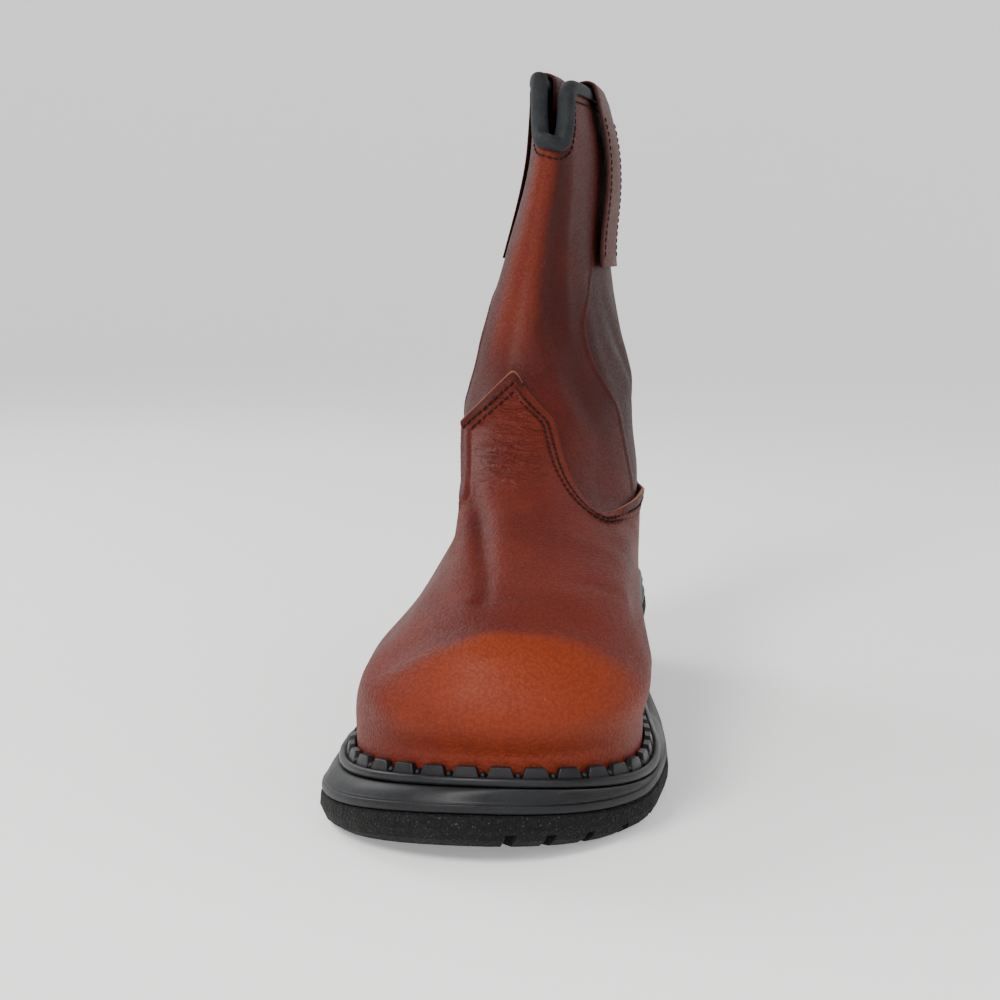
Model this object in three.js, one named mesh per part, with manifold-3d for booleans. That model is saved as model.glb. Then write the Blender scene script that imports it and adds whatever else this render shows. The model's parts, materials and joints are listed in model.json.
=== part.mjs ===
// Western work boot, wearer's right: a slack pull-on standing empty on its sole.
// Millimetres, +Z up, toe towards -Y, inner (medial) side towards +X.
// The origin is on the floor under the middle of the heel.
import * as THREE from 'three';
import { mergeVertices } from 'three/addons/utils/BufferGeometryUtils.js';
import Module from 'manifold-3d';

const wasm = await Module();
wasm.setup();

// Driving sizes
const SOLE_TIP_Y = -272;
const SOLE_BACK_Y = 45;
const GAP = 0.3;
const CURVE_GAP = 0.35;
const WALL = 2.4;
const OVERLAY_STEP = 1.3;
const SEAM_RISE = 0.8;

// Sole stack
const OUTSOLE_THICK = 10.5;
const MIDSOLE_THICK = 8.5;
const WELT_THICK = 3.4;
const INSOLE_THICK = 3;
const INSOLE_GAP = 0.7;
const HEEL_HEIGHT = 26;
const TOE_SPRING = 8;
const TOE_SPRING_FROM_Y = -214;
const ARCH_FROM_Y = -146;
const SOLE_FADE = 2.5;
const BREAST_Y = -40;
const LUG = { depth: 4, slot: 3.6, pitch: 13.5, reach: 17, plainTipY: -212 };
const RIB = { rise: 3, width: 3.2, ledge: 2.4, pitch: 10.8 };
const PLAIN_TOOTH = { share: 0.5, rise: 0.8 };

// Collar binding and pull straps
const BINDING = { down: 3.8, thick: 1.4, crown: 1.4 };
const STRAP = { thick: 2, from: 0.37, to: 0.56, outside: 74, inside: 44, steps: 8, columns: 5 };
const BILLOW = { medial: 1, lateral: 0.5 };

// Half-widths each side of the toe-to-heel line, along the foot from its tip to its back
const SOLE_PRINT = [
  { along: 0.00, lateral: 53.0, medial: 44.0 },
  { along: 0.10, lateral: 59.0, medial: 48.0 },
  { along: 0.17, lateral: 63.5, medial: 51.0 },
  { along: 0.24, lateral: 65.0, medial: 53.0 },
  { along: 0.31, lateral: 63.0, medial: 54.5 },
  { along: 0.42, lateral: 56.0, medial: 52.5 },
  { along: 0.54, lateral: 49.0, medial: 45.0 },
  { along: 0.67, lateral: 44.5, medial: 41.5 },
  { along: 0.82, lateral: 43.5, medial: 42.5 },
  { along: 1.00, lateral: 43.5, medial: 43.0 },
];
// Rounding of the sole's ends, and the sideways turn of its tip
const SOLE_ENDS = { toe: 0.18, toePower: 2.1, heel: 0.15, heelPower: 2.1 };
const TIP_TURN = { x: -8, along: 0.25 };

// Sections of the upper, from the feather line at the sole to above the collar. Each is a loop in
// the plane through its front and back points. Its half-widths to either side of the line between
// them are given at the fore, middle and rear. Nose and tail are the shares of its length over
// which its ends round off.
const STATIONS = { fore: 0.22, middle: 0.5, rear: 0.8 };
const ENDS = [
  { level: 0, frontX: 0, frontY: -260, frontZ: 23, backX: 0, backY: 34, backZ: 46 },
  { level: 1, frontX: 0, frontY: -260, frontZ: 33, backX: 0, backY: 34, backZ: 57 },
  { level: 2, frontX: 0, frontY: -265, frontZ: 46, backX: 0, backY: 38, backZ: 76 },
  { level: 3, frontX: -1, frontY: -257, frontZ: 63, backX: 0, backY: 38, backZ: 94 },
  { level: 4, frontX: -2, frontY: -237, frontZ: 76, backX: 0, backY: 34, backZ: 107 },
  { level: 5, frontX: -4, frontY: -202, frontZ: 87, backX: 1, backY: 31, backZ: 118 },
  { level: 6, frontX: -7, frontY: -160, frontZ: 102, backX: 1, backY: 29, backZ: 130 },
  { level: 7, frontX: -9, frontY: -120, frontZ: 124, backX: 2, backY: 30, backZ: 146 },
  { level: 8, frontX: -9, frontY: -98, frontZ: 150, backX: 3, backY: 36, backZ: 165 },
  { level: 9, frontX: -4, frontY: -88, frontZ: 190, backX: 4, backY: 48, backZ: 197 },
  { level: 10, frontX: 3, frontY: -86, frontZ: 236, backX: 6, backY: 60, backZ: 238 },
  { level: 11, frontX: 5, frontY: -86, frontZ: 284, backX: 8, backY: 66, backZ: 284 },
];
const ROUND_SHARES = [
  { level: 0, noseLateral: 0.19, noseMedial: 0.19, tail: 0.15 },
  { level: 1, noseLateral: 0.19, noseMedial: 0.19, tail: 0.15 },
  { level: 2, noseLateral: 0.16, noseMedial: 0.17, tail: 0.15 },
  { level: 3, noseLateral: 0.15, noseMedial: 0.19, tail: 0.18 },
  { level: 4, noseLateral: 0.18, noseMedial: 0.26, tail: 0.22 },
  { level: 5, noseLateral: 0.22, noseMedial: 0.32, tail: 0.28 },
  { level: 6, noseLateral: 0.36, noseMedial: 0.42, tail: 0.36 },
  { level: 7, noseLateral: 0.46, noseMedial: 0.48, tail: 0.44 },
  { level: 8, noseLateral: 0.5, noseMedial: 0.5, tail: 0.5 },
];
const LATERAL = [
  { level: 0, fore: 52.5, middle: 40, rear: 33 },
  { level: 1, fore: 52.5, middle: 40, rear: 33 },
  { level: 2, fore: 48.5, middle: 36, rear: 33.5 },
  { level: 3, fore: 33.5, middle: 28, rear: 31 },
  { level: 4, fore: 24, middle: 25, rear: 29.5 },
  { level: 5, fore: 19, middle: 26, rear: 29 },
  { level: 6, fore: 22, middle: 28, rear: 29 },
  { level: 7, fore: 27, middle: 29, rear: 29 },
  { level: 8, fore: 24.5, middle: 24, rear: 25 },
  { level: 9, fore: 17.5, middle: 11.5, rear: 13 },
  { level: 10, fore: 12, middle: 6.5, rear: 9 },
  { level: 11, fore: 11.5, middle: 6.5, rear: 8.5 },
];
const MEDIAL = [
  { level: 0, fore: 44, middle: 36, rear: 33 },
  { level: 1, fore: 44, middle: 36, rear: 33 },
  { level: 2, fore: 47, middle: 39.5, rear: 36 },
  { level: 3, fore: 41, middle: 40.5, rear: 36.5 },
  { level: 4, fore: 37.5, middle: 41, rear: 36 },
  { level: 5, fore: 33.5, middle: 41, rear: 35.5 },
  { level: 6, fore: 33, middle: 40, rear: 35 },
  { level: 7, fore: 36, middle: 39, rear: 34 },
  { level: 8, fore: 31.5, middle: 33, rear: 31 },
  { level: 9, fore: 22.5, middle: 23.5, rear: 24.5 },
  { level: 10, fore: 16.5, middle: 19, rear: 19 },
  { level: 11, fore: 5, middle: 2, rear: 8 },
];
const NOSE_POWER = 2.15;
const TAIL_POWER = 2.1;

// Edge of the vamp and heel counter, which lie over the shaft. Around is lateral below 0, medial
// above 0, the front at 0 and the back at both ends; sag bends the line up to the next row.
const OVERLAY_LINE = [
  { around: -1.00, height: 132, sag: -4 },
  { around: -0.68, height: 95, sag: 0 },
  { around: -0.48, height: 98, sag: -1 },
  { around: -0.29, height: 95, sag: 0 },
  { around: -0.25, height: 99, sag: 0 },
  { around: -0.24, height: 122.5, sag: -2.5 },
  { around: 0.00, height: 144.5, sag: -1 },
  { around: 0.13, height: 127, sag: -2 },
  { around: 0.21, height: 105.5, sag: -3 },
  { around: 0.33, height: 95.5, sag: -1 },
  { around: 0.48, height: 98, sag: 0 },
  { around: 0.68, height: 96, sag: -4 },
  { around: 1.00, height: 132, sag: 0 },
];

// Height of the collar's edge: a deep notch between two peaks at the front
const COLLAR_LINE = [
  { around: 0.00, lateral: 238.0, medial: 238.0 },
  { around: 0.07, lateral: 239.0, medial: 237.0 },
  { around: 0.11, lateral: 241.0, medial: 242.0 },
  { around: 0.16, lateral: 250.0, medial: 257.0 },
  { around: 0.22, lateral: 264.0, medial: 260.5 },
  { around: 0.45, lateral: 264.0, medial: 260.5 },
  { around: 0.75, lateral: 260.0, medial: 260.0 },
  { around: 0.91, lateral: 255.0, medial: 255.0 },
  { around: 1.00, lateral: 254.7, medial: 254.7 },
];

// Raised side seams of the shaft: each winds from the vamp's edge up to under its pull strap. The
// upper's columns shift with it, most at its home place and less up to its reach on both sides.
const SEAM = { home: 0.46, reach: 0.34, half: 0.009, share: 0.75, top: 0.8 };
const SEAM_LINE = [
  { height: 97, around: 0.46 },
  { height: 112, around: 0.445 },
  { height: 127, around: 0.4 },
  { height: 137, around: 0.34 },
  { height: 149, around: 0.29 },
  { height: 162, around: 0.27 },
  { height: 178, around: 0.32 },
  { height: 190, around: 0.36 },
  { height: 206, around: 0.42 },
  { height: 226, around: 0.46 },
];

// Mesh density: columns round a loop and rows up each region
const COLUMNS = 62;
const VAMP_ROWS = 12;
const SHAFT_ROWS = 10;
const LINING_ROWS = 9;
const SHAFT_CROWD = 1.7;
const LINING_CROWD = 1.35;
const SOLE_COLUMNS = 72;

const BLACK_RUBBER = new THREE.MeshStandardMaterial({ color: 0x17181a, roughness: 0.9, metalness: 0 });
const MIDSOLE_RUBBER = new THREE.MeshStandardMaterial({ color: 0x2c2e31, roughness: 0.55, metalness: 0 });
const LEATHER = new THREE.MeshStandardMaterial({ color: 0x6b2a20, roughness: 0.5, metalness: 0 });
const BINDING_TAPE = new THREE.MeshStandardMaterial({ color: 0x2f3538, roughness: 0.7, metalness: 0 });
const LINING_BOARD = new THREE.MeshStandardMaterial({ color: 0x8a6b4c, roughness: 0.9, metalness: 0 });

const lerp = (a, b, s) => a + (b - a) * s;
const clamp = (s, lo, hi) => Math.min(hi, Math.max(lo, s));
const smoothstep = (s) => s * s * (3 - 2 * s);

// Smooth curve through one column of a table, which never overshoots its rows
function column(rows, key, at, name) {
  const last = rows.length - 1;
  let i = 0;
  while (i < last - 1 && at > rows[i + 1][key]) i += 1;
  const slope = (j) => (rows[j + 1][name] - rows[j][name]) / (rows[j + 1][key] - rows[j][key]);
  const tangent = (j) => {
    if (j === 0) return slope(0);
    if (j === last) return slope(last - 1);
    const product = slope(j - 1) * slope(j);
    return product <= 0 ? 0 : (2 * product) / (slope(j - 1) + slope(j));
  };
  const span = rows[i + 1][key] - rows[i][key];
  const s = clamp((at - rows[i][key]) / span, 0, 1);
  const s2 = s * s;
  const s3 = s2 * s;
  const start = (2 * s3 - 3 * s2 + 1) * rows[i][name] + (s3 - 2 * s2 + s) * span * tangent(i);
  const end = (3 * s2 - 2 * s3) * rows[i + 1][name] + (s3 - s2) * span * tangent(i + 1);
  return start + end;
}

// Roundness of both ends of a footprint or oval: 0 at the tips, 1 along the middle
function rounding(along, ends) {
  const toe = clamp(1 - along / ends.toe, 0, 1);
  const heel = clamp(1 - (1 - along) / ends.heel, 0, 1);
  const toeHalf = (1 - toe ** ends.toePower) ** (1 / ends.toePower);
  return toeHalf * (1 - heel ** ends.heelPower) ** (1 / ends.heelPower);
}

// Places round a loop: 0 is the front, 1 and -1 the back, lateral negative, medial positive
const wrap = (around) => (around > 1 ? around - 2 : around < -1 ? around + 2 : around);
const alongOf = (around) => (1 - Math.cos(Math.PI * Math.abs(around))) / 2;
const sideOf = (around) => (around < 0 ? 'lateral' : 'medial');
const signOf = (around) => (around < 0 ? -1 : 1);

// Height of the outsole's underside above the floor
function soleLine(y) {
  const spring = clamp((TOE_SPRING_FROM_Y - y) / (TOE_SPRING_FROM_Y - SOLE_TIP_Y), 0, 1);
  const arch = clamp((y - ARCH_FROM_Y) / (BREAST_Y - 4 - ARCH_FROM_Y), 0, 1);
  return TOE_SPRING * spring * spring + (HEEL_HEIGHT + GAP) * smoothstep(arch);
}
const outsoleTop = (y) => soleLine(y) + OUTSOLE_THICK;
const midsoleTop = (y) => outsoleTop(y) + GAP + MIDSOLE_THICK;

// Half-width of a section at a share of its length
function halfWidth(widths, level, along) {
  const names = Object.keys(STATIONS);
  const rows = names.map((name) => ({ at: STATIONS[name], half: column(widths, 'level', level, name) }));
  return column(rows, 'at', clamp(along, STATIONS.fore, STATIONS.rear), 'half');
}

// A point on the outer face of the shaft's leather, at a place round it and a level up it
function upperPoint(place, level) {
  const around = wrap(place);
  const at = (name) => column(ENDS, 'level', level, name);
  const share = (name) => column(ROUND_SHARES, 'level', level, name);
  const along = alongOf(around);
  const nose = share(around < 0 ? 'noseLateral' : 'noseMedial');
  const ends = { toe: nose, toePower: NOSE_POWER, heel: share('tail'), heelPower: TAIL_POWER };
  const half = halfWidth(around < 0 ? LATERAL : MEDIAL, level, along) * rounding(along, ends);
  const y = lerp(at('frontY'), at('backY'), along);
  const planar = lerp(at('frontZ'), at('backZ'), along);
  const sole = midsoleTop(y) + GAP - lerp(ENDS[0].frontZ, ENDS[0].backZ, along);
  const fade = 1 - smoothstep(clamp(level / SOLE_FADE, 0, 1));
  const x = lerp(at('frontX'), at('backX'), along) + signOf(around) * half;
  return new THREE.Vector3(x, y, planar + sole * fade);
}

function upperNormal(around, level) {
  const stepRound = 0.004;
  const stepUp = 0.02;
  const low = Math.max(level - stepUp, 0);
  const round = upperPoint(around + stepRound, level).sub(upperPoint(around - stepRound, level));
  const up = upperPoint(around, level + stepUp).sub(upperPoint(around, low));
  return round.cross(up).normalize();
}

// A point off the shaft's outer face by a distance along its normal
function offUpper(around, level, off) {
  return upperPoint(around, level).addScaledVector(upperNormal(around, level), off);
}

// Level at which the upper reaches a height at a place round it
function levelAt(around, height) {
  let low = 0;
  let high = ENDS.length - 1;
  for (let i = 0; i < 24; i += 1) {
    const middle = (low + high) / 2;
    if (upperPoint(around, middle).z < height) low = middle;
    else high = middle;
  }
  return (low + high) / 2;
}

function collarHeight(place) {
  const around = wrap(place);
  return column(COLLAR_LINE, 'around', Math.abs(around), sideOf(around));
}
const collarLevel = (around) => levelAt(around, collarHeight(around));

function overlayLevel(around) {
  const next = Math.max(OVERLAY_LINE.findIndex((row) => row.around >= around), 1);
  const row = OVERLAY_LINE[next - 1];
  const share = (around - row.around) / (OVERLAY_LINE[next].around - row.around);
  const height = lerp(row.height, OVERLAY_LINE[next].height, share) + row.sag * Math.sin(Math.PI * share);
  return levelAt(around, height);
}

// Closed body through loops of equal length, each counterclockwise seen from above and starting at
// the back. A ring joins its last loop to its first; otherwise strips across close both ends.
function skin(loops, ring) {
  const n = loops[0].length;
  const index = [];
  const rows = ring ? loops.length : loops.length - 1;
  for (let k = 0; k < rows; k += 1) {
    const low = k * n;
    const high = ((k + 1) % loops.length) * n;
    for (let i = 0; i < n; i += 1) {
      const j = (i + 1) % n;
      index.push(low + i, low + j, high + j, low + i, high + j, high + i);
    }
  }
  if (!ring) {
    const top = (loops.length - 1) * n;
    for (let i = 0; i < n / 2; i += 1) {
      const a = i;
      const b = i + 1;
      const c = (n - i - 1) % n;
      const d = (n - i) % n;
      if (b !== c) index.push(top + a, top + b, top + c, b, a, c);
      if (a !== d) index.push(top + a, top + c, top + d, a, d, c);
    }
  }
  const geometry = new THREE.BufferGeometry();
  const positions = loops.flat().flatMap((p) => [p.x, p.y, p.z]);
  geometry.setAttribute('position', new THREE.Float32BufferAttribute(positions, 3));
  geometry.setIndex(index);
  return geometry;
}

function toSolid(geometry) {
  const bare = geometry.clone();
  bare.deleteAttribute('normal');
  bare.deleteAttribute('uv');
  const merged = mergeVertices(bare, 1e-4);
  return new wasm.Manifold(new wasm.Mesh({
    numProp: 3,
    vertProperties: new Float32Array(merged.attributes.position.array),
    triVerts: new Uint32Array(merged.index.array),
  }));
}

function toGeometry(solid) {
  const mesh = solid.getMesh();
  const geometry = new THREE.BufferGeometry();
  geometry.setAttribute('position', new THREE.BufferAttribute(new Float32Array(mesh.vertProperties), 3));
  geometry.setIndex(new THREE.BufferAttribute(new Uint32Array(mesh.triVerts), 1));
  return geometry;
}

function boxSolid(size, place, turn) {
  const box = new THREE.BoxGeometry(...size);
  box.rotateZ(turn);
  box.translate(...place);
  return toSolid(box);
}

const places = (count) => Array.from({ length: count }, (_, i) => -1 + (2 * i) / count);

// Plan of the sole's widest edge
function solePlan() {
  return places(SOLE_COLUMNS).map((around) => {
    const along = alongOf(around);
    const half = column(SOLE_PRINT, 'along', along, sideOf(around)) * rounding(along, SOLE_ENDS);
    const middle = TIP_TURN.x * (1 - smoothstep(clamp(along / TIP_TURN.along, 0, 1)));
    const y = lerp(SOLE_TIP_Y, SOLE_BACK_Y, along);
    return new THREE.Vector2(middle + signOf(around) * half, y);
  });
}

// Plan of the upper's outer face where it meets the sole
function featherPlan(count) {
  return places(count).map((around) => {
    const point = upperPoint(around, 0);
    return new THREE.Vector2(point.x, point.y);
  });
}

// A closed plan moved outward by a distance
function grow(plan, distance) {
  const n = plan.length;
  return plan.map((point, i) => {
    const along = plan[(i + 1) % n].clone().sub(plan[(i - 1 + n) % n]).normalize();
    return new THREE.Vector2(point.x + along.y * distance, point.y - along.x * distance);
  });
}

const raise = (plan, height) => plan.map((p) => new THREE.Vector3(p.x, p.y, height(p.y)));

const planMix = (a, b, share) => a.map((p, i) => p.clone().lerp(b[i], share));

// Points spread along a closed plan at given shares of its length, from its back point round
function spread(plan, shares) {
  const n = plan.length;
  const lengths = [0];
  for (let i = 0; i < n; i += 1) lengths.push(lengths[i] + plan[i].distanceTo(plan[(i + 1) % n]));
  const total = lengths[n];
  let i = 0;
  return shares.map((share) => {
    const target = share * total;
    while (lengths[i + 1] < target) i += 1;
    const local = (target - lengths[i]) / (lengths[i + 1] - lengths[i]);
    return plan[i].clone().lerp(plan[(i + 1) % n], local);
  });
}

const WELT_INNER_OFF = OVERLAY_STEP + 0.5;
const RIB_OUTER_OFF = WELT_INNER_OFF + RIB.width;
const WELT_OUTER_OFF = RIB_OUTER_OFF + RIB.ledge;

// Outsole: pebbled wall, toe spring, arch, and lug slots cut in from the floor
function makeOutsole() {
  const plan = solePlan();
  const wall = [
    { out: -5, up: 0 },
    { out: -1.4, up: 2.2 },
    { out: 0, up: 5.5 },
    { out: -0.4, up: OUTSOLE_THICK - 0.6 },
    { out: -1.2, up: OUTSOLE_THICK },
  ];
  const loops = wall.map((row) => raise(grow(plan, row.out), (y) => soleLine(y) + row.up));
  let solid = toSolid(skin(loops, false));
  for (const slot of forefootSlots()) solid = solid.subtract(slot);
  return toGeometry(solid);
}

// Radial slots that notch the outsole's edge round the forefoot, apart from its plain outer tip,
// and bars across its middle
function forefootSlots() {
  const slots = [];
  const plan = solePlan();
  const n = plan.length;
  let walked = 0;
  for (let i = 0; i < n; i += 1) {
    const here = plan[i];
    const next = plan[(i + 1) % n];
    walked += here.distanceTo(next);
    if (walked < LUG.pitch || here.y > ARCH_FROM_Y + 14) continue;
    walked = 0;
    if (here.x < 0 && here.y < LUG.plainTipY) continue;
    const turn = Math.atan2(next.y - here.y, next.x - here.x);
    const inward = new THREE.Vector2(-Math.sin(turn), Math.cos(turn)).multiplyScalar(LUG.reach / 2 - 2);
    const centre = [here.x + inward.x, here.y + inward.y, soleLine(here.y)];
    slots.push(boxSolid([LUG.slot, LUG.reach, 2 * LUG.depth], centre, turn));
  }
  for (const y of [-228, -206, -162, -140]) {
    slots.push(boxSolid([56, LUG.slot, 2 * LUG.depth], [-2, y, soleLine(y)], 0));
  }
  return slots;
}

// Heel block under the back of the outsole, with a breast and bars across the floor
function makeHeel() {
  const plan = solePlan();
  const wall = [
    { out: -7, up: 0 },
    { out: -4.4, up: 2 },
    { out: -1.6, up: HEEL_HEIGHT },
  ];
  const loops = wall.map((row) => raise(grow(plan, row.out), () => row.up));
  const behind = boxSolid([120, 120, 80], [0, BREAST_Y + 60, 0], 0);
  let solid = toSolid(skin(loops, false)).intersect(behind);
  for (const y of [-24, 22]) {
    solid = solid.subtract(boxSolid([120, LUG.slot, 2 * LUG.depth], [0, y, 0], 0));
  }
  return toGeometry(solid);
}

// Midsole: bevelled smooth wall with a fine step, narrowing up to the welt
function makeMidsole() {
  const low = solePlan();
  const high = grow(featherPlan(SOLE_COLUMNS), WELT_OUTER_OFF + 0.6);
  const wall = [
    { share: 0, out: -1.4, up: 0 },
    { share: 0, out: -0.7, up: 1 },
    { share: 0, out: -1, up: 3.1 },
    { share: 0, out: -1.8, up: 3.5 },
    { share: 0.25, out: -1.4, up: 5.6 },
    { share: 0.85, out: 0, up: 7.9 },
    { share: 1, out: 0, up: MIDSOLE_THICK },
  ];
  const loops = wall.map((row) => {
    const plan = grow(planMix(low, high, row.share), row.out);
    return raise(plan, (y) => outsoleTop(y) + GAP + row.up);
  });
  return skin(loops, false);
}

// Welt: a flat strip round the upper with a notched storm rib standing against the leather
function makeWelt() {
  const fine = featherPlan(360);
  const edge = grow(fine, WELT_INNER_OFF);
  const length = edge.reduce((sum, p, i) => sum + p.distanceTo(edge[(i + 1) % edge.length]), 0);
  const teeth = Math.round(length / RIB.pitch);
  const tooth = [
    { share: 0.10, rise: 0.15 },
    { share: 0.22, rise: 1 },
    { share: 0.78, rise: 1 },
    { share: 0.90, rise: 0.15 },
  ];
  const shares = [];
  const rises = [];
  for (let i = 0; i < teeth; i += 1) {
    const [start] = spread(edge, [i / teeth]);
    const notched = start.y < BREAST_Y;
    for (const corner of notched ? tooth : [PLAIN_TOOTH]) {
      shares.push((i + corner.share) / teeth);
      rises.push(corner.rise);
    }
  }
  const floor = (p) => midsoleTop(p.y) + GAP;
  const lift = (p, up) => new THREE.Vector3(p.x, p.y, floor(p) + up);
  const ring = (out, up) => spread(grow(fine, out), shares).map((p) => lift(p, up));
  const crest = (out) => ring(out, 0).map((p, i) => p.setZ(p.z + WELT_THICK + RIB.rise * rises[i]));
  const loops = [
    ring(WELT_OUTER_OFF, 0),
    ring(WELT_OUTER_OFF - 0.6, WELT_THICK),
    ring(RIB_OUTER_OFF, WELT_THICK),
    crest(RIB_OUTER_OFF - 0.9),
    crest(WELT_INNER_OFF),
    ring(WELT_INNER_OFF, 0),
  ];
  return skin(loops, true);
}

// Insole board: a thin plate inside the upper's wall
function makeInsole() {
  const plan = grow(featherPlan(SOLE_COLUMNS), -WALL - INSOLE_GAP);
  const loops = [0, INSOLE_THICK].map((up) => raise(plan, (y) => midsoleTop(y) + GAP + up));
  return skin(loops, false);
}

// Columns round the upper, close together at each raised side seam
function upperColumns() {
  const list = places(COLUMNS);
  for (const side of [-1, 1]) {
    for (const step of [-1, -0.5, 0.5, 1]) list.push(side * SEAM.home + step * SEAM.half);
  }
  return list.sort((a, b) => a - b);
}

// Place round the upper of a column at a level, shifted so that the seam follows its line
function alongSeam(around, level) {
  const height = clamp(upperPoint(around, level).z, SEAM_LINE[0].height, SEAM_LINE.at(-1).height);
  const shift = column(SEAM_LINE, 'height', height, 'around') - SEAM.home;
  const near = Math.max(1 - Math.abs(Math.abs(around) - SEAM.home) / SEAM.reach, 0);
  return around + signOf(around) * shift * near;
}

function seamRise(around, share) {
  const off = Math.abs(Math.abs(around) - SEAM.home) / SEAM.half;
  return off < SEAM.share && share < SEAM.top ? SEAM_RISE : 0;
}

// Upper: one hollow shell, open at the collar and underneath; the vamp and counter stand proud
function makeUpper() {
  const columns = upperColumns();
  const loop = (levelOf, offOf) => {
    return columns.map((around) => offUpper(around, levelOf(around), offOf(around)));
  };
  const loops = [];
  for (let k = 0; k <= VAMP_ROWS; k += 1) {
    loops.push(loop((around) => (overlayLevel(around) * k) / VAMP_ROWS, () => OVERLAY_STEP));
  }
  for (let k = 0; k <= SHAFT_ROWS; k += 1) {
    const share = 1 - (1 - k / SHAFT_ROWS) ** SHAFT_CROWD;
    loops.push(columns.map((around) => {
      const level = lerp(overlayLevel(around), collarLevel(around), share);
      return offUpper(alongSeam(around, level), level, seamRise(around, share));
    }));
  }
  for (let k = 0; k <= LINING_ROWS; k += 1) {
    const share = 1 - (k / LINING_ROWS) ** LINING_CROWD;
    loops.push(loop((around) => collarLevel(around) * share, () => -WALL));
  }
  return skin(loops, true);
}

// A point at a distance off the leather and square up or down from the collar's edge
function offCollar(around, off, up) {
  const step = 0.004;
  const level = collarLevel(around);
  const run = upperPoint(around + step, level).distanceTo(upperPoint(around - step, level)) / (2 * step);
  const climb = (collarHeight(around + step) - collarHeight(around - step)) / (2 * step);
  const tilt = Math.hypot(1, climb / run);
  const place = around - (climb / run / tilt) * (up / run);
  return offUpper(place, levelAt(place, collarHeight(around) + up / tilt), off);
}

// Binding: a rolled tape folded over the collar's edge
function makeBinding() {
  const outer = GAP + CURVE_GAP;
  const inner = -WALL - GAP - CURVE_GAP;
  const fold = [
    { off: outer, up: -BINDING.down },
    { off: outer + BINDING.thick, up: -BINDING.down },
    { off: outer + BINDING.thick, up: GAP },
    { off: -WALL / 2, up: GAP + BINDING.crown },
    { off: inner - BINDING.thick, up: GAP },
    { off: inner - BINDING.thick, up: -BINDING.down },
    { off: inner, up: -BINDING.down },
    { off: inner, up: GAP },
    { off: outer, up: GAP },
  ];
  const columns = upperColumns();
  const loops = fold.map((row) => columns.map((around) => offCollar(around, row.off, row.up)));
  return skin(loops, true);
}

// Pull strap: a band stitched flat at both ends that runs up the outside, over the binding and
// down the inside. Each row of its route is a distance off the leather and up from the collar.
function strapRoute(billow) {
  const clear = BINDING.thick + 2 * GAP + 2 * CURVE_GAP;
  const flat = GAP + 4 * CURVE_GAP;
  const neck = BINDING.down + 5;
  const route = [];
  for (let k = 0; k < STRAP.steps; k += 1) {
    const share = k / STRAP.steps;
    const slack = billow * Math.sin(Math.PI * share) ** 2;
    const off = lerp(flat, clear, smoothstep(share)) + slack;
    route.push({ off, up: lerp(-STRAP.outside, -neck, share) });
  }
  route.push({ off: clear, up: -neck });
  route.push({ off: clear, up: GAP });
  route.push({ off: -WALL / 2, up: 3 * GAP + BINDING.crown });
  route.push({ off: -WALL - clear, up: GAP });
  route.push({ off: -WALL - clear, up: -neck });
  route.push({ off: -WALL - flat, up: -neck - 10 });
  route.push({ off: -WALL - flat, up: -STRAP.inside });
  return route;
}

function makeStrap(side) {
  const route = strapRoute(BILLOW[side > 0 ? 'medial' : 'lateral']);
  const outer = route.map((row, i) => {
    const before = route[Math.max(i - 1, 0)];
    const after = route[Math.min(i + 1, route.length - 1)];
    const run = new THREE.Vector2(after.off - before.off, after.up - before.up).normalize();
    return { off: row.off + run.y * STRAP.thick, up: row.up - run.x * STRAP.thick };
  });
  const spots = Array.from({ length: STRAP.columns }, (_, i) => {
    return side * lerp(STRAP.from, STRAP.to, i / (STRAP.columns - 1));
  });
  const loops = route.map((row, i) => {
    const far = spots.map((around) => offCollar(around, outer[i].off, outer[i].up));
    const near = spots.map((around) => offCollar(around, row.off, row.up)).reverse();
    const loop = [...far, ...near];
    return side > 0 ? loop : loop.reverse();
  });
  return skin(loops, false);
}

const boot = new THREE.Group();
boot.name = 'boot';

function place(name, geometry, material) {
  const mesh = new THREE.Mesh(geometry, material);
  mesh.name = name;
  boot.add(mesh);
}

place('outsole', makeOutsole(), BLACK_RUBBER);
place('heel_block', makeHeel(), BLACK_RUBBER);
place('midsole', makeMidsole(), MIDSOLE_RUBBER);
place('welt', makeWelt(), MIDSOLE_RUBBER);
place('insole', makeInsole(), LINING_BOARD);
place('upper', makeUpper(), LEATHER);
place('collar_binding', makeBinding(), BINDING_TAPE);
place('pull_strap_medial', makeStrap(1), LEATHER);
place('pull_strap_lateral', makeStrap(-1), LEATHER);

export default boot;
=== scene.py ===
import json
import math

import bpy
import numpy as np
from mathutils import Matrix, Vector
from mathutils.kdtree import KDTree

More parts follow.
